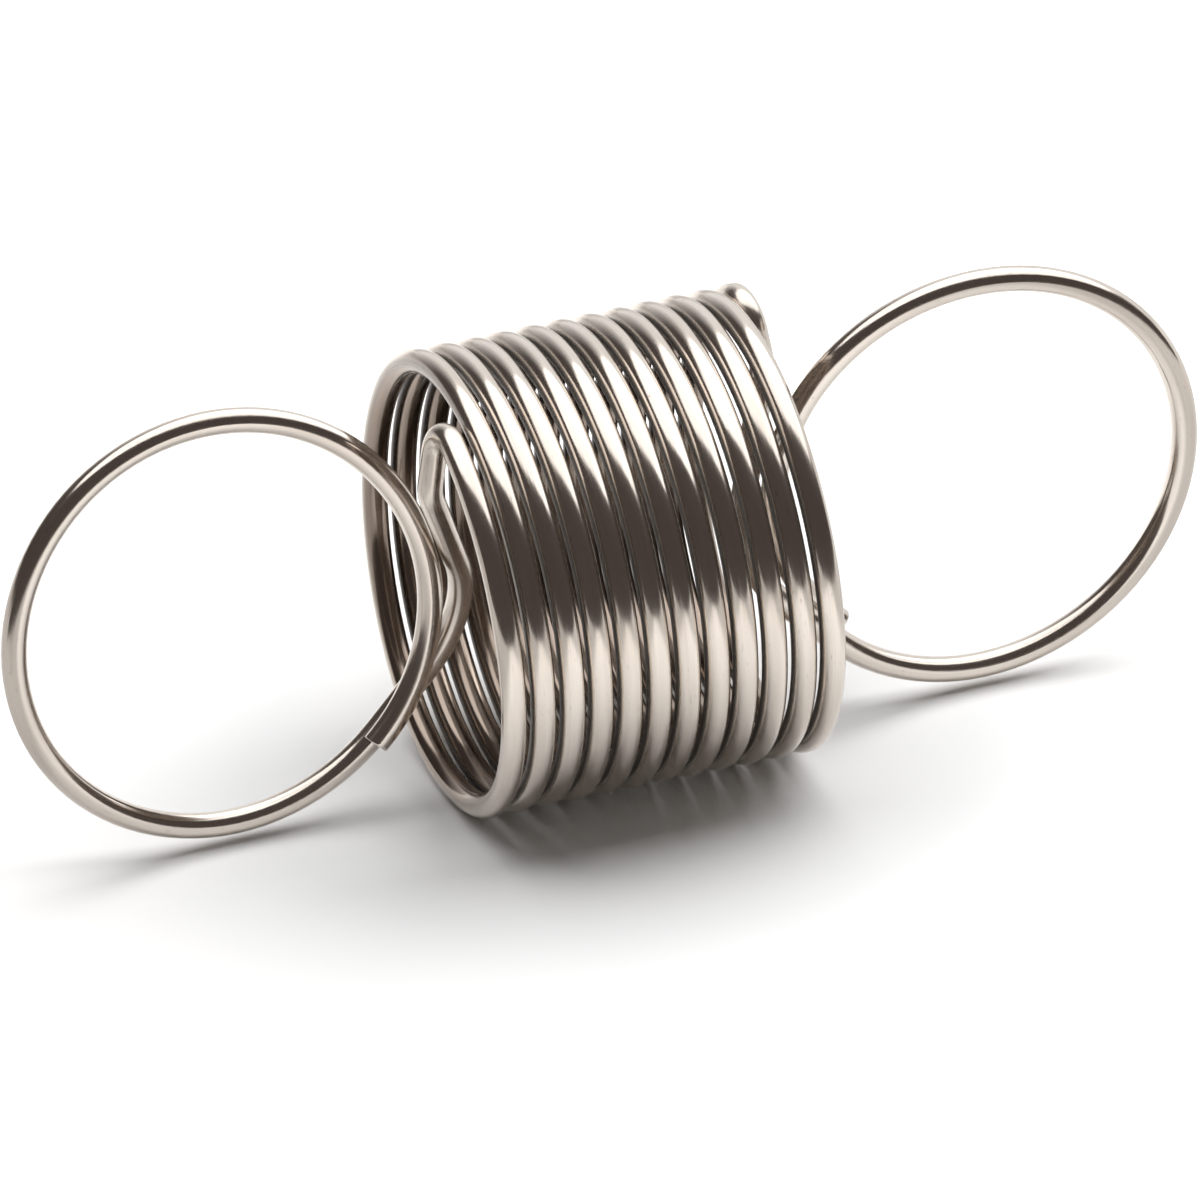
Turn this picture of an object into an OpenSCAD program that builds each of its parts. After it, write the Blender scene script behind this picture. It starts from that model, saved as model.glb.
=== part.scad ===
// Extension spring: one length of round wire, close wound, with a full loop bent up at each end.
// Lengths are in millimetres. The coil lies along X and the spring stands on z = 0.

/* [Wire] */
// Diameter of the wire (mm)
wire_d = 1; // [0.5:0.05:2]

/* [Coil] */
// Outside diameter of the coil (mm)
coil_od = 18.3; // [12:0.1:40]
// Turns of the coil, a whole number
turns = 12; // [4:1:40]
// Clear gap between neighbouring turns (mm)
turn_gap = 0.18; // [0.05:0.01:2]

/* [Loops] */
// Outside diameter of each loop (mm)
loop_od = 18; // [12:0.1:30]
// How far the near side of a loop lies inside the end of the coil (mm)
loop_dip = 0.2; // [-1:0.05:2]
// How far the far side of a loop is set off the coil's axis (mm)
loop_side = 0.2; // [0:0.05:2]
// Lean of each loop from upright (degrees)
loop_lean = 4.5; // [0:0.5:10]
// How far the foot of each loop stands off the ground (mm)
loop_lift = 0.35; // [0:0.05:1]
// How far the free end lies in from the start of the loop, towards the loop's middle (mm)
loop_tuck = 0.4; // [0:0.05:1]
// Clear gap between the two strands of a loop where they lie side by side (mm)
strand_gap = 0.3; // [0.1:0.05:1]
// How far the free end of the wire runs on beside the start of the loop (degrees)
overlap = 3; // [2:1:60]

/* [Bend out of the coil] */
// How far before the top of the last turn the wire leaves the coil (degrees)
early = 24; // [10:1:50]
// Inside radius of the tight bend (mm)
bend_in = 0.5; // [0.2:0.05:2]
// Length of the leg from the end of the tight bend to the elbow's corner (mm)
leg = 1.8; // [1.2:0.1:5]
// Lean of the leg, outwards from upright (degrees)
leg_lean = 9; // [0:1:20]
// Inside radius of the elbow below the leg (mm)
elbow_in = 1; // [0.5:0.1:3]

/* [Bend into the loop] */
// How far its corner stands beyond the near side of the loop (mm)
corner_out = 1.8; // [1.2:0.05:4]
// How far its corner lies below the middle of the loop (mm)
corner_down = 1.7; // [0:0.1:4]
// Inside radius of this wide bend (mm)
sweep_in = 4; // [2:0.1:8]

/* [Hidden] */
$fn = 48;

wire_r = wire_d / 2;
half_turn = 180;
// A bend is made longer by the spare and cut square by a cutter this wide and deep.
spare = wire_d / 5;
cut_r = wire_d * 3 / 4;
cut_depth = wire_d / 2;

// Coil: half turns counted inwards from the end, so the ends stay upright whatever the count.
half_turns = round(turns);
pitch = wire_d + turn_gap;
coil_r = coil_od / 2 - wire_r;
coil_end = half_turns * pitch / 2;
coil_arc_r = norm([coil_r, pitch / 4]);

// Loop: its own directions are in towards the coil, up along the lean and off to the side.
strand_pitch = wire_d + strand_gap;
loop_r = loop_od / 2 - wire_r;
loop_arc_r = norm([loop_r, strand_pitch / 4]);
loop_in = [-1, 0, 0];
loop_up = [0, -sin(loop_lean), cos(loop_lean)];
loop_off = cross(loop_in, loop_up);
// The foot of the loop, a quarter turn before its far side, stands off the ground by the lift.
loop_drop = coil_r - loop_arc_r * cos(loop_lean) - strand_pitch / 4 * sin(loop_lean) - loop_lift;
loop_middle = [coil_end + loop_r - loop_dip, -loop_side, -loop_drop];

// Where the wire leaves the coil, and its way there
last_turn = half_turn - early;
leave_way = way_after(coil_way(1), coil_inside(1), last_turn);
leave_inside = inside_after(coil_way(1), coil_inside(1), last_turn);
leave_point = coil_node(1) + coil_arc_r * (coil_inside(1) - leave_inside);

// Where the loop starts: a line through the wide bend's corner touches its circle there.
corner_in = loop_r + corner_out;
corner_far = norm([corner_in, corner_down]);
join_angle = -atan2(corner_down, corner_in) - acos(loop_r / corner_far);
join_point = loop_node(0);
join_way = loop_in * sin(join_angle) - loop_up * cos(join_angle);

// Corners of the wire between coil and loop, before they are rounded
bend_r = bend_in + wire_r;
elbow_r = elbow_in + wire_r;
sweep_r = sweep_in + wire_r;
leg_way = [sin(leg_lean), 0, -cos(leg_lean)];
bend_corner = leave_point + leave_way * reach(leave_way, leg_way, bend_r);
elbow_corner = bend_corner + leg_way * (reach(leave_way, leg_way, bend_r) + leg);
sweep_corner = join_point - join_way * sqrt(corner_far * corner_far - loop_r * loop_r);
neck_way = unit(sweep_corner - elbow_corner);
neck_length = norm(sweep_corner - elbow_corner)
    - reach(leg_way, neck_way, elbow_r)
    - reach(neck_way, join_way, sweep_r);
lead_in = norm(join_point - sweep_corner) - reach(neck_way, join_way, sweep_r);

// The wire from the coil to its free end, as a bender makes it. Each step has the wire's way, the
// direction to the inside of a bend, the bend's radius and angle, and the straight wire after it.
steps = [
    rounding(leave_way, leg_way, bend_r, leg - reach(leg_way, neck_way, elbow_r)),
    rounding(leg_way, neck_way, elbow_r, neck_length),
    rounding(neck_way, join_way, sweep_r, lead_in),
    loop_step(0, half_turn),
    loop_step(1, half_turn),
    loop_step(2, overlap)
];

function unit(v) = v / norm(v);

// The wire's way and the direction to the inside, at the end of a bend
function way_after(way, inside, angle) = way * cos(angle) + inside * sin(angle);
function inside_after(way, inside, angle) = inside * cos(angle) - way * sin(angle);

// Points of the coil half a turn apart, at the top and at the bottom
function coil_node(i) = [coil_end - i * pitch / 2, 0, i % 2 == 0 ? coil_r : -coil_r];
function coil_way(i) = [0, i % 2 == 0 ? -1 : 1, 0];
function coil_inside(i) = unit(coil_node(i - 1) - coil_node(i));

// Points of the loop half a turn apart, from where it starts. From its free end on, it is tucked in.
function loop_node(i) =
    let (angle = join_angle - i * half_turn, radius = i < 2 ? loop_r : loop_r - loop_tuck)
    loop_middle
        + radius * (loop_in * cos(angle) + loop_up * sin(angle))
        - loop_off * strand_pitch * (half_turn + angle) / 360;
function loop_step(i, angle) =
    let (across = loop_node(i + 1) - loop_node(i))
    [i % 2 == 0 ? join_way : -join_way, unit(across), norm(across) / 2, angle, 0];

// How far from a rounded corner the rounding starts and ends
function reach(from, to, radius) = radius * tan(acos(from * to) / 2);
function rounding(from, to, radius, straight) =
    [from, unit(to - (to * from) * from), radius, acos(from * to), straight];

// How far the wire rolls about itself before a step, so that the bend's inside comes to x
function roll(i) = roll_between(
    i == 0 ? leave_inside : inside_after(steps[i - 1][0], steps[i - 1][1], steps[i - 1][3]),
    steps[i][1],
    steps[i][0]
);
function roll_between(from, to, way) = atan2(cross(from, to) * way, from * to);

// Moves its children a coarse way and then the fine rest, so that rounding leaves no step in the wire
module shift(by) {
    coarse = [for (x = by) round(x * 1000) / 1000];
    translate(coarse) translate(by - coarse) children();
}

// Stands its children at a point, with their x and y axes turned to the directions given
module place(at, x, y) {
    z = cross(x, y);
    shift(at) multmatrix([
        [x[0], y[0], z[0], 0],
        [x[1], y[1], z[1], 0],
        [x[2], y[2], z[2], 0]
    ]) children();
}

// Between the ring's own directions and the wire's: the wire runs along z and its bend's inside is at x.
module swap() rotate([90, 0, half_turn]) children();

module at_ring_end(radius, angle)
    shift([radius * cos(angle), radius * sin(angle), 0]) rotate([0, 0, angle]) swap() children();

// Part of a ring about z, from x towards y, with the children at its end. It is made a little long
// and cut square, so that what follows meets it face to face.
module ring(radius, angle) {
    difference() {
        rotate_extrude(angle = angle + half_turn / PI * spare / radius) shift([radius, 0, 0]) circle(wire_r);
        at_ring_end(radius, angle) cylinder(r = cut_r, h = cut_depth);
    }
    at_ring_end(radius, angle) children();
}

// Wire bent towards x, with the children at its end
module bend(radius, angle) shift([radius, 0, 0]) swap() ring(radius, angle) children();

// Straight wire, with the children at its end
module feed(length) {
    if (length > 0) cylinder(r = wire_r, h = length);
    translate([0, 0, length]) children();
}

// The wire from step i to the free end
module wire(i) {
    if (i < len(steps))
        rotate([0, 0, roll(i)]) bend(steps[i][2], steps[i][3]) feed(steps[i][4]) wire(i + 1);
}

// A half turn of the coil, or the part of it that the angle gives
module coil_arc(i, angle)
    place((coil_node(i) + coil_node(i - 1)) / 2, -coil_inside(i), coil_way(i)) ring(coil_arc_r, angle) children();

// From the middle of the coil to one free end
module half_spring() {
    for (i = [2 : half_turns]) coil_arc(i, half_turn);
    coil_arc(1, last_turn) wire(0);
}

// Both halves are alike: one is the other turned round the upright through the middle.
module spring() color("silver") translate([0, 0, coil_od / 2]) union() {
    half_spring();
    rotate([0, 0, half_turn]) half_spring();
}

spring();
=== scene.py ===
"""Looks of an extension spring: one length of bright round wire with a full loop bent up at each end."""

import math
from collections import namedtuple

import bpy
import numpy as np
from mathutils import Matrix, Vector


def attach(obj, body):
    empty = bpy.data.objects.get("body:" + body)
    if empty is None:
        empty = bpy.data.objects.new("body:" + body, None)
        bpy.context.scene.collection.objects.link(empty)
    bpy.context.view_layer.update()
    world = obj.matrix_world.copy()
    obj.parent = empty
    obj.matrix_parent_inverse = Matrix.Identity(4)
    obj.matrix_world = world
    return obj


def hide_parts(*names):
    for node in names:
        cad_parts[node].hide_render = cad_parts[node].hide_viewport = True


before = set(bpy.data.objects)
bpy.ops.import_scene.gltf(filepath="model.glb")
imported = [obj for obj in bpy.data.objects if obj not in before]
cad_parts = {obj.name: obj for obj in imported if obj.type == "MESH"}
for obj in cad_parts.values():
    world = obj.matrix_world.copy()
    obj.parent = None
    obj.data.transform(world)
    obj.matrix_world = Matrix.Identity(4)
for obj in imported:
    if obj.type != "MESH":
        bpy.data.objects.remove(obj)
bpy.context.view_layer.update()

MM = 0.001

# The spring's own dimensions, in millimetres and degrees, as the CAD source states them
WIRE_D = 1.0
COIL_OD = 18.3
TURNS = 12
TURN_GAP = 0.18
LOOP_OD = 18.0
LOOP_DIP = 0.2
LOOP_SIDE = 0.2
LOOP_LEAN = 4.5
LOOP_LIFT = 0.35
LOOP_TUCK = 0.4
STRAND_GAP = 0.3
OVERLAP = 3.0
EARLY = 24.0
BEND_IN = 0.5
LEG = 1.8
LEG_LEAN = 9.0
ELBOW_IN = 1.0
CORNER_OUT = 1.8
CORNER_DOWN = 1.7
SWEEP_IN = 4.0

HALF_TURN = 180.0
FULL_TURN = 360.0
WIRE_R = WIRE_D / 2
PITCH = WIRE_D + TURN_GAP
COIL_R = COIL_OD / 2 - WIRE_R
COIL_END = TURNS * PITCH / 2
COIL_ARC_R = math.hypot(COIL_R, PITCH / 4)
STRAND_PITCH = WIRE_D + STRAND_GAP
LOOP_R = LOOP_OD / 2 - WIRE_R

# How finely the wire is drawn: sides round it, degrees of bend and millimetres of straight per ring
SIDES = 32
RING_STEP = 3.75
TIGHT_STEP = 5.0
STRAIGHT_STEP = 0.2
FIRST_SIDE = (0.3, 0.2, 1.0)

# Unevenness of a wound coil in millimetres, its waves in turns of the coil, and where it fades out
UNEVEN_ALONG = 0.02
UNEVEN_IN = 0.03
UNEVEN_SEED = 11
ALONG_WAVES = (2.7, 1.3, 0.62, 0.31)
IN_WAVES = (1.9, 0.8, 0.45)
EVEN_NEAR_BEND = 12.0

# The cut ends: rounded edge in millimetres, slant in degrees, and which way round it slants in radians
CUT_EDGE = 0.05
CUT_SLANT = 7.0
CUT_LOW_SIDE = 0.9
EDGE_STEPS = (0, 30, 60, 90)
CUT_FROM_STEP = 60
FACE_SHARES = (0.75, 0.45, 0.15)

# Painted shade in the gaps: how far the wire's side leans to its neighbour where the painted shade starts
# and is full
SHADE_FROM_LEAN = 0.86
SHADE_FULL_LEAN = 0.98
COIL_FADE = 4.0
INNER_RISE = 2.0
WORKED_FADE = 1.5

# The skin laid flat for baking: strips side by side, with a margin as a share of a strip's width
STRIPS = 16
STRIP_MARGIN = 0.05

# Finish of the wire, and painted shade for its gaps and the inside of the coil. The scales are waves round
# the wire and waves per millimetre along it.
LINE_SCALE = (9.0, 0.07)
CLOUD_SCALE = (1.1, 0.16)
SPECK_SCALE = (6.0, 3.0)
SHEAR_SCALE = 14000.0
STEEL_CLEAN = (0.74, 0.675, 0.61, 1)
STEEL_CLOUDED = (0.66, 0.59, 0.525, 1)
DRAWN_LINE = (0.55, 0.49, 0.435, 1)
SPECK = (0.36, 0.31, 0.27, 1)
# Painted shade on the inside of the coil
INNER_SHADE_TONE = (0.23, 0.17, 0.13, 1)
# Painted shade in the gaps between neighbouring turns
GAP_SHADE_TONE = (0.05, 0.039, 0.033, 1)
SHEARED = (0.55, 0.53, 0.50, 1)
LINE_DEPTH = 0.000012

# Studio: sizes in metres, light as radiance where 1 shows as white
FLOOR_HALF = 4.0
FLOOR_WHITE = 0.9
FLOOR_GLOW = (1.0, 0.95, 0.9, 1)
# The glow lifts the ground to white away from the spring, so that the shadow stays under it.
NEAR_GLOW = 0.3
FAR_GLOW = 0.9
NEAR_FROM = 0.014
NEAR_TO = 0.035
FAR_TO = 0.3
# The metal shows the ground beside the loops dimmer than the ground in front of the coil.
FLOOR_DIM = 0.5
DIM_FROM = 0.016
DIM_TO = 0.026
# The lamp's height, and its place and size as shares of the height
SOFT_HEIGHT = 0.15
SOFT_RIGHT = 0.95
SOFT_BACK = 0.2
SOFT_WIDTH = 3.8
SOFT_DEPTH = 1.36
SOFT_LIGHT = 1.6
FILL_LIGHT = 1.4
FILL_ABOVE = 0.01
ROOM_LIGHT = 0.05
# Dark flags: the dome leaves the wall behind bright from the left edge on, leaning with the height
ROOM_DARK = (0.080, 0.067, 0.063, 1)
DOME_R = 0.7
DOME_AROUND = 64
DOME_UP = 16
WALL_LEAN = 0.35
WALL_DARK_AT = -0.55
WALL_BACK = 0.15
FENCE_X = 0.075
FENCE_Y = 0.095
FENCE_H = 0.02
FENCE_PARTS = 48

# Camera: the photograph's direction in degrees, aim off the coil's middle and width in millimetres
VIEW_AZIMUTH = -18.84
VIEW_ELEVATION = 28.03
VIEW_ROLL = 2.508
VIEW_RIGHT = -0.0807
VIEW_DOWN = 1.8486
FRAME_WIDTH = 46.1
LENS = 1200.0
SENSOR = 36.0
CLIP_NEAR = 0.1
CLIP_FAR = 20.0


def sin(angle):
    return math.sin(math.radians(angle))


def cos(angle):
    return math.cos(math.radians(angle))


def unit(v):
    return v / np.linalg.norm(v)


def angle_between(a, b):
    return math.degrees(math.acos(max(-1.0, min(1.0, float(a @ b)))))


def way_after(way, inside, angle):
    """The wire's way at the end of a bend."""
    return way * cos(angle) + inside * sin(angle)


def reach(a, b, radius):
    """How far from a rounded corner the rounding starts and ends."""
    return radius * math.tan(math.radians(angle_between(a, b) / 2))


def coil_node(i):
    """Points of the coil half a turn apart, counted inwards from its end."""
    return np.array((COIL_END - i * PITCH / 2, 0.0, COIL_R if i % 2 == 0 else -COIL_R))


def coil_way(i):
    return np.array((0.0, -1.0 if i % 2 == 0 else 1.0, 0.0))


def coil_inside(i):
    return unit(coil_node(i - 1) - coil_node(i))


class Wire:
    """The centre line, grown from the middle of the coil to the free end as a bender makes it."""

    def __init__(self, start):
        self.points = [start]
        self.kinds = ["coil"]

    def bend(self, way, inside, radius, angle, kind, step=RING_STEP):
        start = self.points[-1]
        count = max(2, math.ceil(angle / step))
        for k in range(1, count + 1):
            turned = angle * k / count
            out = inside * (1 - cos(turned)) + way * sin(turned)
            self.points.append(start + radius * out)
            self.kinds.append(kind)
        return way_after(way, inside, angle)

    def round_corner(self, before, after, radius, kind, step):
        inside = unit(after - (after @ before) * before)
        self.bend(before, inside, radius, angle_between(before, after), kind, step)

    def feed(self, way, length, kind):
        start = self.points[-1]
        count = max(1, math.ceil(length / STRAIGHT_STEP))
        for k in range(1, count + 1):
            self.points.append(start + way * length * k / count)
            self.kinds.append(kind)


def half_wire():
    """Centre line from the middle of the coil to the free end at +X, about the coil's axis."""
    wire = Wire(coil_node(TURNS))
    for i in range(TURNS, 1, -1):
        wire.bend(coil_way(i), coil_inside(i), COIL_ARC_R, HALF_TURN, "coil")
    leave_way = wire.bend(coil_way(1), coil_inside(1), COIL_ARC_R, HALF_TURN - EARLY, "coil")
    leave_point = wire.points[-1]

    # The loop: its own directions, its middle, and where and how it starts
    loop_in = np.array((-1.0, 0.0, 0.0))
    loop_up = np.array((0.0, -sin(LOOP_LEAN), cos(LOOP_LEAN)))
    loop_off = np.cross(loop_in, loop_up)
    loop_arc_r = math.hypot(LOOP_R, STRAND_PITCH / 4)
    foot = loop_arc_r * cos(LOOP_LEAN) + STRAND_PITCH / 4 * sin(LOOP_LEAN)
    middle = np.array((COIL_END + LOOP_R - LOOP_DIP, -LOOP_SIDE, foot + LOOP_LIFT - COIL_R))
    corner_in = LOOP_R + CORNER_OUT
    corner_far = math.hypot(corner_in, CORNER_DOWN)
    join_turn = math.atan2(CORNER_DOWN, corner_in) + math.acos(LOOP_R / corner_far)
    join_angle = -math.degrees(join_turn)
    join_way = loop_in * sin(join_angle) - loop_up * cos(join_angle)

    def loop_node(i):
        angle = join_angle - i * HALF_TURN
        radius = LOOP_R if i < 2 else LOOP_R - LOOP_TUCK
        out = radius * (loop_in * cos(angle) + loop_up * sin(angle))
        return middle + out - loop_off * STRAND_PITCH * (HALF_TURN + angle) / FULL_TURN

    # The corners between coil and loop, and the straight wire between their roundings
    bend_r, elbow_r, sweep_r = BEND_IN + WIRE_R, ELBOW_IN + WIRE_R, SWEEP_IN + WIRE_R
    leg_way = np.array((sin(LEG_LEAN), 0.0, -cos(LEG_LEAN)))
    bend_reach = reach(leave_way, leg_way, bend_r)
    elbow_corner = leave_point + leave_way * bend_reach + leg_way * (bend_reach + LEG)
    sweep_corner = loop_node(0) - join_way * math.sqrt(corner_far**2 - LOOP_R**2)
    neck = np.linalg.norm(sweep_corner - elbow_corner)
    neck_way = unit(sweep_corner - elbow_corner)
    elbow_reach = reach(leg_way, neck_way, elbow_r)
    sweep_reach = reach(neck_way, join_way, sweep_r)
    lead_in = np.linalg.norm(loop_node(0) - sweep_corner) - sweep_reach

    wire.round_corner(leave_way, leg_way, bend_r, "bend", TIGHT_STEP)
    wire.feed(leg_way, LEG - elbow_reach, "leg")
    wire.round_corner(leg_way, neck_way, elbow_r, "bend", TIGHT_STEP)
    wire.feed(neck_way, neck - elbow_reach - sweep_reach, "leg")
    wire.round_corner(neck_way, join_way, sweep_r, "sweep", RING_STEP)
    wire.feed(join_way, lead_in, "leg")
    for i, angle in enumerate((HALF_TURN, HALF_TURN, OVERLAP)):
        way = join_way if i % 2 == 0 else -join_way
        across = loop_node(i + 1) - loop_node(i)
        wire.bend(way, unit(across), np.linalg.norm(across) / 2, angle, "loop")
    return np.array(wire.points), wire.kinds


def whole_wire():
    """Both halves joined at the middle of the coil: one is the other turned round the upright."""
    points, kinds = half_wire()
    turned = points * (-1, -1, 1)
    return np.concatenate((turned[::-1], points[1:])), kinds[::-1] + kinds[1:]


def lengths(points):
    """How far along the line through the points each point lies."""
    steps = np.linalg.norm(np.diff(points, axis=0), axis=1)
    return np.concatenate(((0.0,), np.cumsum(steps)))


def near_kind(along, kinds, wanted, fade):
    """1 where the wire is of a wanted kind, fading to 0 over a length on both sides of it."""
    marked = along[[k in wanted for k in kinds]]
    gap = np.abs(along[:, None] - marked[None, :]).min(1)
    return np.clip(1 - gap / fade, 0, 1)


def outwards(points):
    """The direction from the coil's axis out through each point."""
    out = points * (0, 1, 1)
    return out / np.maximum(np.linalg.norm(out, axis=1), WIRE_R)[:, None]


def smooth_noise(along, waves, rng):
    """Sum of sine waves of given lengths, in turns, with random phases, between -1 and 1."""
    turn = 2 * math.pi * COIL_R
    total = sum(np.sin(2 * np.pi * along / (turn * w) + rng.uniform(0, 2 * np.pi)) for w in waves)
    return total / len(waves)


def uneven(points, kinds):
    """Moves the turns of the coil a little along the axis and inwards, and leaves the ends alone."""
    rng = np.random.default_rng(UNEVEN_SEED)
    along = lengths(points)
    in_coil = 1 - near_kind(along, kinds, ("bend",), EVEN_NEAR_BEND)
    in_coil *= np.array([k == "coil" for k in kinds])
    sideways = smooth_noise(along, ALONG_WAVES, rng)
    inward = 0.5 + 0.5 * smooth_noise(along, IN_WAVES, rng)
    moved = points.copy()
    moved[:, 0] += UNEVEN_ALONG * sideways * in_coil
    return moved - outwards(points) * (UNEVEN_IN * inward * in_coil)[:, None]


def tangents(points):
    t = np.gradient(points, lengths(points), axis=0)
    return t / np.linalg.norm(t, axis=1)[:, None]


def sides_of(ways):
    """A direction square to the wire at each point, carried along it without twist."""
    side = unit(np.cross(ways[0], FIRST_SIDE))
    found = []
    for way in ways:
        side = unit(side - (side @ way) * way)
        found.append(side)
    return np.array(found)


# One ring of the wire's skin: slanted is 1 on a cut end, and cut is 1 on the sheared face itself
Ring = namedtuple("Ring", "centre side other way radius slanted cut")


def rings_of(points):
    """The rings of the wire from end to end, with a rounded and sheared cap at both ends."""
    ways = tangents(points)
    side = sides_of(ways)
    other = np.cross(ways, side)
    body = [Ring(p, s, o, w, WIRE_R, 0.0, 0.0) for p, s, o, w in zip(points, side, other, ways)]

    def cap(k, sign):
        face = Ring(points[k], side[k], other[k], ways[k] * sign, WIRE_R, 1.0, 1.0)
        rings = []
        for a in EDGE_STEPS:
            centre = face.centre - face.way * CUT_EDGE * (1 - sin(a))
            radius = WIRE_R - CUT_EDGE * (1 - cos(a))
            cut = 1.0 if a >= CUT_FROM_STEP else 0.0
            rings.append(face._replace(centre=centre, radius=radius, cut=cut))
        return rings + [face._replace(radius=WIRE_R * share) for share in FACE_SHARES]

    return cap(0, -1)[::-1] + body[1:-1] + cap(-1, 1)


def skin_points(rings):
    """The points of all rings in order, and then the middle of each cut face."""
    angles = np.arange(SIDES) * 2 * math.pi / SIDES
    verts = []
    for r in rings:
        ring = r.centre + r.radius * (np.cos(angles)[:, None] * r.side + np.sin(angles)[:, None] * r.other)
        deep = math.tan(math.radians(CUT_SLANT)) * (WIRE_R + r.radius * np.cos(angles - CUT_LOW_SIDE))
        verts.append(ring - r.way * (deep * r.slanted)[:, None])
    return np.concatenate(verts + [[verts[0].mean(0), verts[-1].mean(0)]])


def skin_faces(count):
    """Faces between the rings, and then the two fans on the cut ends. lay_flat() keeps this order."""
    faces = []
    for i in range(count - 1):
        for k in range(SIDES):
            a, b = i * SIDES + k, i * SIDES + (k + 1) % SIDES
            faces.append((a, b, b + SIDES, a + SIDES))
    ends = count * SIDES
    for k in range(SIDES):
        after = (k + 1) % SIDES
        faces.append((ends, after, k))
        faces.append((ends + 1, ends - SIDES + k, ends - SIDES + after))
    return faces


def lay_flat(mesh, rings):
    """Lays the wire's skin flat in strips side by side, in the order of skin_faces()."""
    centre_gap = rings[0].radius
    run = lengths(np.array([(*r.centre, r.radius) for r in rings])) + centre_gap
    run_end = run[-1] + centre_gap
    strip_run = run_end / STRIPS
    room = strip_run + np.diff(run).max()
    margin_up = STRIP_MARGIN / STRIPS

    def spot(strip, k, at):
        across = STRIP_MARGIN + (1 - 2 * STRIP_MARGIN) * k / SIDES
        up = margin_up + (1 - 2 * margin_up) * (at - strip * strip_run) / room
        return (strip + across) / STRIPS, up

    flat = []
    for i in range(len(rings) - 1):
        strip = int(run[i] / strip_run)
        for k in range(SIDES):
            flat += [spot(strip, k + j, run[i + up]) for j, up in ((0, 0), (1, 0), (1, 1), (0, 1))]
    last = STRIPS - 1
    for k in range(SIDES):
        flat += [spot(0, k + 0.5, 0.0), spot(0, k + 1, run[0]), spot(0, k, run[0])]
        flat += [spot(last, k + 0.5, run_end), spot(last, k, run[-1]), spot(last, k + 1, run[-1])]
    mesh.uv_layers.new(name="OFBake").data.foreach_set("uv", np.array(flat).ravel())


def keep_masks(mesh, rings, verts, points, kinds):
    """Keeps at each point its place round and along the wire, how worn the wire is there, and where shade
    is painted on it.
    """
    count, at_ends = len(rings), (0.0, 0.0)
    centres = np.array([r.centre for r in rings])
    along, points_along = lengths(centres), lengths(points)

    def along_rings(wanted, fade):
        return np.interp(along, points_along, near_kind(points_along, kinds, wanted, fade))[:, None]

    def next_to_another(leans_x):
        """0 on the side of an end turn that has no neighbour."""
        return np.clip((COIL_END - PITCH / 2 - centres[:, :1] * np.sign(leans_x)) / PITCH, 0, 1)

    leans = (verts[:-2].reshape(count, SIDES, 3) - centres[:, None]) / WIRE_R
    in_coil = 1 - along_rings(("leg", "loop", "sweep"), COIL_FADE)
    to_next = np.clip((np.abs(leans[:, :, 0]) - SHADE_FROM_LEAN) / (SHADE_FULL_LEAN - SHADE_FROM_LEAN), 0, 1)
    facing = (leans * outwards(centres)[:, None]).sum(2)
    whole_ring = np.ones((1, SIDES))
    masks = {
        # painted shade where a turn's side leans to its neighbour
        "gap_shade": to_next * next_to_another(leans[:, :, 0]) * in_coil,
        # painted shade on the side of the wire that faces the coil's axis
        "inner_shade": np.clip(-facing * INNER_RISE, 0, 1) * in_coil,
        "worked": along_rings(("bend", "sweep"), WORKED_FADE) * whole_ring,
        "cut_face": np.array([r.cut for r in rings])[:, None] * whole_ring,
    }
    for name, mask in masks.items():
        ends = (1.0, 1.0) if name == "cut_face" else at_ends
        kept = mesh.attributes.new(name, "FLOAT", "POINT")
        kept.data.foreach_set("value", np.concatenate((mask.ravel(), ends)))

    angles = np.arange(SIDES) * 2 * math.pi / SIDES
    place = np.zeros((len(verts), 3))
    place[:-2, 0] = np.tile(np.cos(angles), count)
    place[:-2, 1] = np.tile(np.sin(angles), count)
    place[:-2, 2] = np.repeat(along, SIDES)
    place[-2:, 2] = along[0], along[-1]
    kept = mesh.attributes.new("wire_place", "FLOAT_VECTOR", "POINT")
    kept.data.foreach_set("vector", place.ravel())


def tube(name, points, kinds):
    """The wire as one closed mesh."""
    rings = rings_of(points)
    verts = skin_points(rings)
    faces = skin_faces(len(rings))
    mesh = bpy.data.meshes.new(name)
    mesh.from_pydata((verts * MM + (0, 0, COIL_OD / 2 * MM)).tolist(), [], faces)
    mesh.polygons.foreach_set("use_smooth", [True] * len(faces))
    lay_flat(mesh, rings)
    keep_masks(mesh, rings, verts, points, kinds)
    mesh.validate()
    piece = bpy.data.objects.new(name, mesh)
    bpy.context.scene.collection.objects.link(piece)
    return piece


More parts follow.
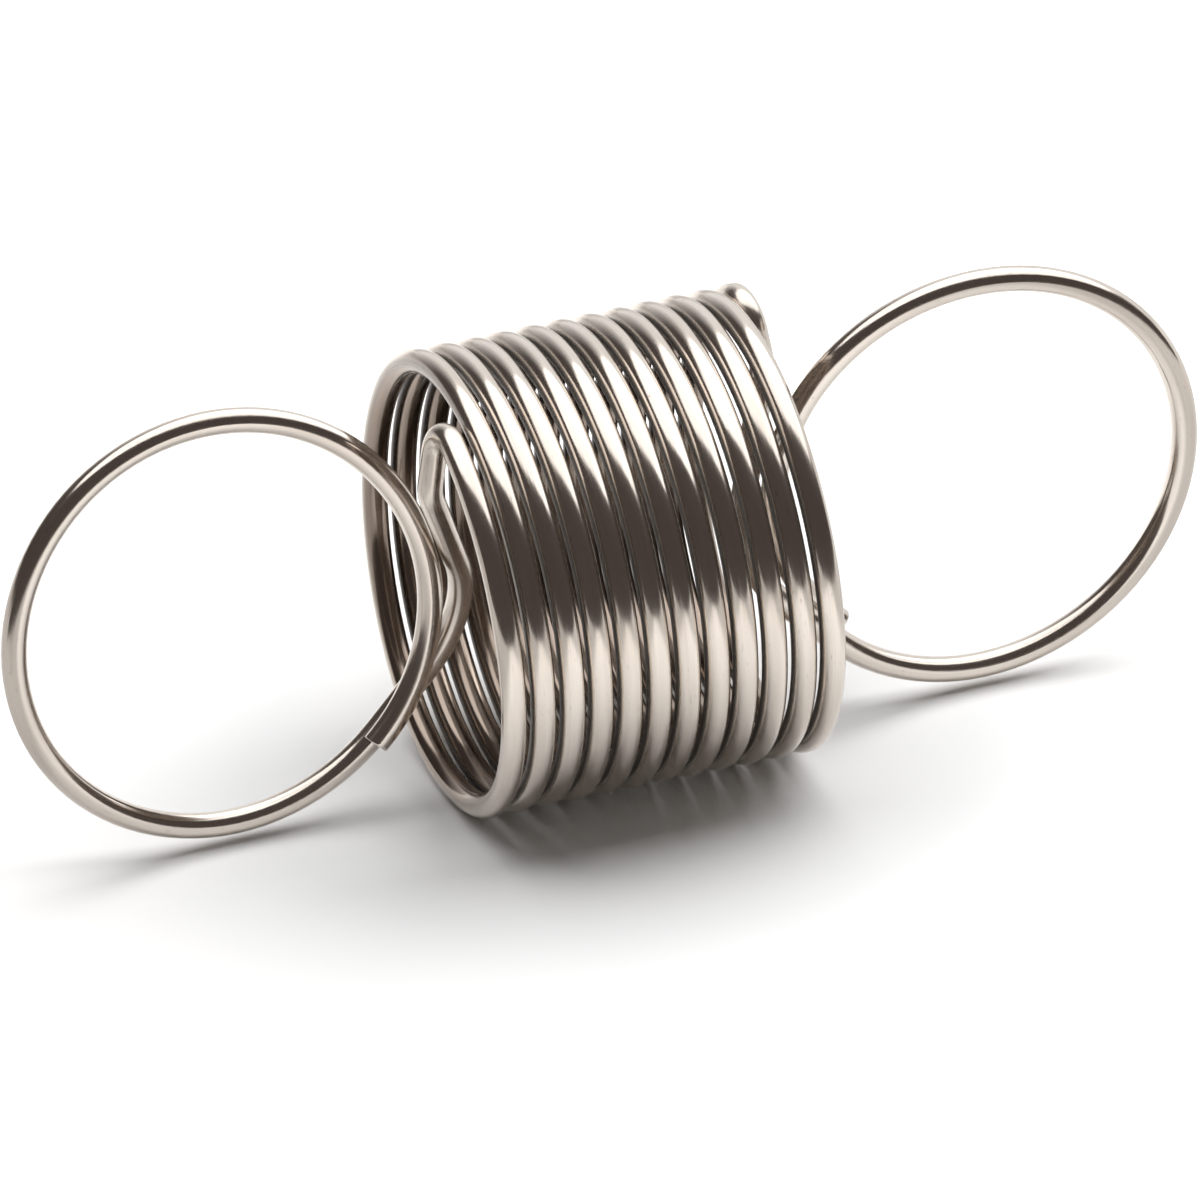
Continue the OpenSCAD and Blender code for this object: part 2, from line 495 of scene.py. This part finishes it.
class Nodes:
    """Short ways to place and link the nodes of one material or world."""

    def __init__(self, owner):
        owner.use_nodes = True
        self.tree = owner.node_tree
        self.tree.nodes.clear()

    def fill(self, node, inputs):
        for key, value in inputs.items():
            if isinstance(value, bpy.types.NodeSocket):
                self.tree.links.new(value, node.inputs[key])
            else:
                node.inputs[key].default_value = value

    def add(self, kind, inputs=None, **settings):
        node = self.tree.nodes.new(kind)
        for key, value in settings.items():
            setattr(node, key, value)
        self.fill(node, inputs or {})
        return node

    def mask(self, name):
        return self.add("ShaderNodeAttribute", attribute_name=name).outputs["Fac"]

    def math(self, operation, a, b=0.0):
        return self.add("ShaderNodeMath", {0: a, 1: b}, operation=operation).outputs[0]

    def spread(self, value, low, high, to_low, to_high):
        """Carries a value from one range to another, held at its ends."""
        inputs = {"Value": value, "From Min": low, "From Max": high, "To Min": to_low, "To Max": to_high}
        return self.add("ShaderNodeMapRange", inputs).outputs["Result"]

    def mix(self, share, a, b):
        return self.add("ShaderNodeMix", {0: share, 6: a, 7: b}, data_type="RGBA").outputs[2]

    def noise(self, vector, scale, detail, roughness=0.5):
        inputs = {"Vector": vector, "Scale": scale, "Detail": detail, "Roughness": roughness}
        return self.add("ShaderNodeTexNoise", inputs).outputs["Fac"]

    def finish(self, shader, output="ShaderNodeOutputMaterial"):
        self.add(output, {"Surface": shader.outputs[0]})


def bright_steel():
    """Bright drawn spring wire: lines along it, thin clouding, painted shade in the gaps and on the inside
    of the coil, rubbed bends, sheared ends.
    """
    material = bpy.data.materials.new("bright_steel")
    n = Nodes(material)
    place = n.add("ShaderNodeAttribute", attribute_name="wire_place").outputs["Vector"]
    cut, gap_shade = n.mask("cut_face"), n.mask("gap_shade")
    inner, worked = n.mask("inner_shade"), n.mask("worked")

    def on_wire(scale):
        around, along = scale
        inputs = {0: place, 1: (around, around, along)}
        return n.add("ShaderNodeVectorMath", inputs, operation="MULTIPLY").outputs[0]

    lines = n.noise(on_wire(LINE_SCALE), 1.0, 3.0, 0.6)
    cloud = n.noise(on_wire(CLOUD_SCALE), 1.0, 2.0)
    specks = n.noise(on_wire(SPECK_SCALE), 1.0, 1.0)

    steel = n.mix(n.spread(cloud, 0.35, 0.7, 0.0, 1.0), STEEL_CLEAN, STEEL_CLOUDED)
    steel = n.mix(n.spread(lines, 0.5, 0.75, 0.0, 0.35), steel, DRAWN_LINE)
    steel = n.mix(n.spread(specks, 0.68, 0.8, 0.0, 0.5), steel, SPECK)
    # Painted shade on the inside of the coil
    steel = n.mix(n.math("MULTIPLY", inner, 0.75), steel, INNER_SHADE_TONE)
    # Painted shade in the gaps between turns: dark colour, and less metallic there further down
    steel = n.mix(n.math("MULTIPLY", gap_shade, 0.9), steel, GAP_SHADE_TONE)
    steel = n.mix(cut, steel, SHEARED)

    rough = n.spread(lines, 0.3, 0.7, 0.10, 0.18)
    rough = n.math("ADD", rough, n.spread(cloud, 0.35, 0.7, 0.0, 0.06))
    for mask, duller in ((worked, 0.07), (cut, 0.22), (gap_shade, 0.2)):
        rough = n.math("ADD", rough, n.math("MULTIPLY", mask, duller))
    metal = n.spread(gap_shade, 0.0, 1.0, 1.0, 0.35)

    shear = n.noise(n.add("ShaderNodeTexCoord").outputs["Object"], SHEAR_SCALE, 2.0)
    height = n.mix(cut, lines, shear)
    bump = n.add("ShaderNodeBump", {"Strength": 0.25, "Distance": LINE_DEPTH, "Height": height})
    inputs = {"Base Color": steel, "Roughness": rough, "Metallic": metal, "Normal": bump.outputs[0]}
    n.finish(n.add("ShaderNodeBsdfPrincipled", inputs))
    return material


def seen(n):
    """1 for the rays that show the background: straight to the camera, or by a mirror or glass."""
    path = n.add("ShaderNodeLightPath").outputs
    found = n.math("MAXIMUM", path["Is Camera Ray"], path["Is Glossy Ray"])
    return n.math("MAXIMUM", found, path["Is Transmission Ray"])


def stage_piece(name, verts, faces, material):
    mesh = bpy.data.meshes.new(name)
    mesh.from_pydata(verts, [], faces)
    mesh.materials.append(material)
    piece = bpy.data.objects.new(name, mesh)
    bpy.context.scene.collection.objects.link(piece)
    return piece


def make_floor():
    material = bpy.data.materials.new("pale_ground")
    n = Nodes(material)
    place = n.add("ShaderNodeTexCoord").outputs["Object"]

    aside = n.math("ABSOLUTE", n.add("ShaderNodeSeparateXYZ", {0: place}).outputs["X"])
    in_metal = n.add("ShaderNodeLightPath").outputs["Is Glossy Ray"]
    dim = n.math("MULTIPLY", in_metal, n.spread(aside, DIM_FROM, DIM_TO, 0.0, 1.0))
    white = n.mix(dim, (FLOOR_WHITE,) * 3 + (1,), (FLOOR_DIM,) * 3 + (1,))
    inputs = {"Base Color": white, "Roughness": 0.95, "Specular IOR Level": 0.0}
    paper = n.add("ShaderNodeBsdfPrincipled", inputs)

    away = n.add("ShaderNodeVectorMath", {0: place}, operation="LENGTH").outputs["Value"]
    near = n.spread(away, NEAR_FROM, NEAR_TO, 0.0, NEAR_GLOW)
    far = n.spread(away, NEAR_TO, FAR_TO, 0.0, FAR_GLOW - NEAR_GLOW)
    glow = n.math("ADD", near, far)
    glow = n.math("MULTIPLY", glow, n.spread(dim, 0.0, 1.0, 1.0, FLOOR_DIM / FLOOR_WHITE))
    strength = n.math("MULTIPLY", seen(n), glow)
    light = n.add("ShaderNodeEmission", {"Color": FLOOR_GLOW, "Strength": strength})
    n.finish(n.add("ShaderNodeAddShader", {0: paper.outputs[0], 1: light.outputs[0]}))

    h = FLOOR_HALF
    stage_piece("floor", [(-h, -h, 0), (h, -h, 0), (h, h, 0), (-h, h, 0)], [(0, 1, 2, 3)], material)


def make_softbox(name, light, above, in_metal):
    """Oval lamp over the spring, facing down, that the metal shows or not."""
    width, depth = SOFT_WIDTH * SOFT_HEIGHT, SOFT_DEPTH * SOFT_HEIGHT
    lamp = bpy.data.lights.new(name, "AREA")
    lamp.shape = "ELLIPSE"
    lamp.size, lamp.size_y = width, depth
    oval = width * depth * math.pi / 4
    lamp.energy = light * math.pi * oval
    box = bpy.data.objects.new(name, lamp)
    box.location = (SOFT_RIGHT * SOFT_HEIGHT, SOFT_BACK * SOFT_HEIGHT, SOFT_HEIGHT + above)
    box.visible_camera = False
    box.visible_glossy = in_metal
    bpy.context.scene.collection.objects.link(box)


def make_world():
    """Pale room, which the camera and the metal see as white."""
    world = bpy.data.worlds.new("room")
    bpy.context.scene.world = world
    n = Nodes(world)
    strength = n.spread(seen(n), 0.0, 1.0, ROOM_LIGHT, 1.0)
    white = n.add("ShaderNodeBackground", {"Color": (1, 1, 1, 1), "Strength": strength})
    n.finish(white, "ShaderNodeOutputWorld")


def only_in_metal(piece):
    piece.visible_camera = False
    piece.visible_diffuse = False
    piece.visible_shadow = False
    piece.visible_transmission = False


def dark_flag():
    """Dark in front and to the left, and clearing to the white room behind and to the right."""
    material = bpy.data.materials.new("dark_flag")
    n = Nodes(material)
    place = n.add("ShaderNodeTexCoord").outputs["Object"]
    way = n.add("ShaderNodeVectorMath", {0: place}, operation="NORMALIZE").outputs[0]
    way = n.add("ShaderNodeSeparateXYZ", {0: way}).outputs
    across = n.math("SUBTRACT", way["X"], n.math("MULTIPLY", way["Z"], WALL_LEAN))
    wall = n.spread(across, WALL_DARK_AT, 0.0, 0.0, 1.0)
    behind = n.spread(way["Y"], 0.0, WALL_BACK, 0.0, 1.0)
    dark = n.add("ShaderNodeEmission", {"Color": ROOM_DARK, "Strength": 1.0})
    clear = n.add("ShaderNodeBsdfTransparent")
    share = n.math("MULTIPLY", wall, behind)
    n.finish(n.add("ShaderNodeMixShader", {0: share, 1: dark.outputs[0], 2: clear.outputs[0]}))
    return material


def make_flags():
    """Dark flags that only the metal shows: a dome over the spring, and a low fence in front of it."""
    material = dark_flag()
    verts, faces = [], []
    for j in range(DOME_UP + 1):
        lift = HALF_TURN / 2 * j / DOME_UP
        for i in range(DOME_AROUND):
            turn = FULL_TURN * i / DOME_AROUND
            way = cos(lift) * cos(turn), cos(lift) * sin(turn), sin(lift)
            verts.append([DOME_R * part for part in way])
    for j in range(DOME_UP):
        for i in range(DOME_AROUND):
            a, b = j * DOME_AROUND + i, j * DOME_AROUND + (i + 1) % DOME_AROUND
            faces.append((a, b, b + DOME_AROUND, a + DOME_AROUND))
    only_in_metal(stage_piece("dark_dome", verts, faces, material))

    count = FENCE_PARTS
    angles = [HALF_TURN + HALF_TURN * i / count for i in range(count + 1)]
    verts = [(FENCE_X * cos(a), FENCE_Y * sin(a), z) for z in (0, FENCE_H) for a in angles]
    faces = [(i, i + 1, count + 2 + i, count + 1 + i) for i in range(count)]
    only_in_metal(stage_piece("dark_fence", verts, faces, material))


def make_camera():
    a, e, r = VIEW_AZIMUTH, VIEW_ELEVATION, VIEW_ROLL
    level = np.array((cos(a), sin(a), 0.0))
    back = np.array((sin(a) * cos(e), -cos(a) * cos(e), sin(e)))
    upright = np.cross(back, level)
    right = level * cos(r) - upright * sin(r)
    up = level * sin(r) + upright * cos(r)
    aim = np.array((0, 0, COIL_OD / 2)) + right * VIEW_RIGHT - up * VIEW_DOWN
    place = (aim + back * FRAME_WIDTH * LENS / SENSOR) * MM
    data = bpy.data.cameras.new("camera")
    data.lens, data.sensor_width = LENS, SENSOR
    data.clip_start, data.clip_end = CLIP_NEAR, CLIP_FAR
    camera = bpy.data.objects.new("camera", data)
    turn = Matrix((right, up, back)).transposed()
    camera.matrix_world = Matrix.Translation(Vector(place)) @ turn.to_4x4()
    bpy.context.scene.collection.objects.link(camera)
    bpy.context.scene.camera = camera


points, kinds = whole_wire()
spring = tube("spring_wire", uneven(points, kinds), kinds)
spring.data.materials.append(bright_steel())
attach(spring, "root")
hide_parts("spring")

make_floor()
make_softbox("softbox", SOFT_LIGHT, 0.0, in_metal=True)
make_softbox("ground_fill", FILL_LIGHT, FILL_ABOVE, in_metal=False)
make_world()
make_flags()
make_camera()
bpy.context.scene.view_settings.view_transform = "Standard"
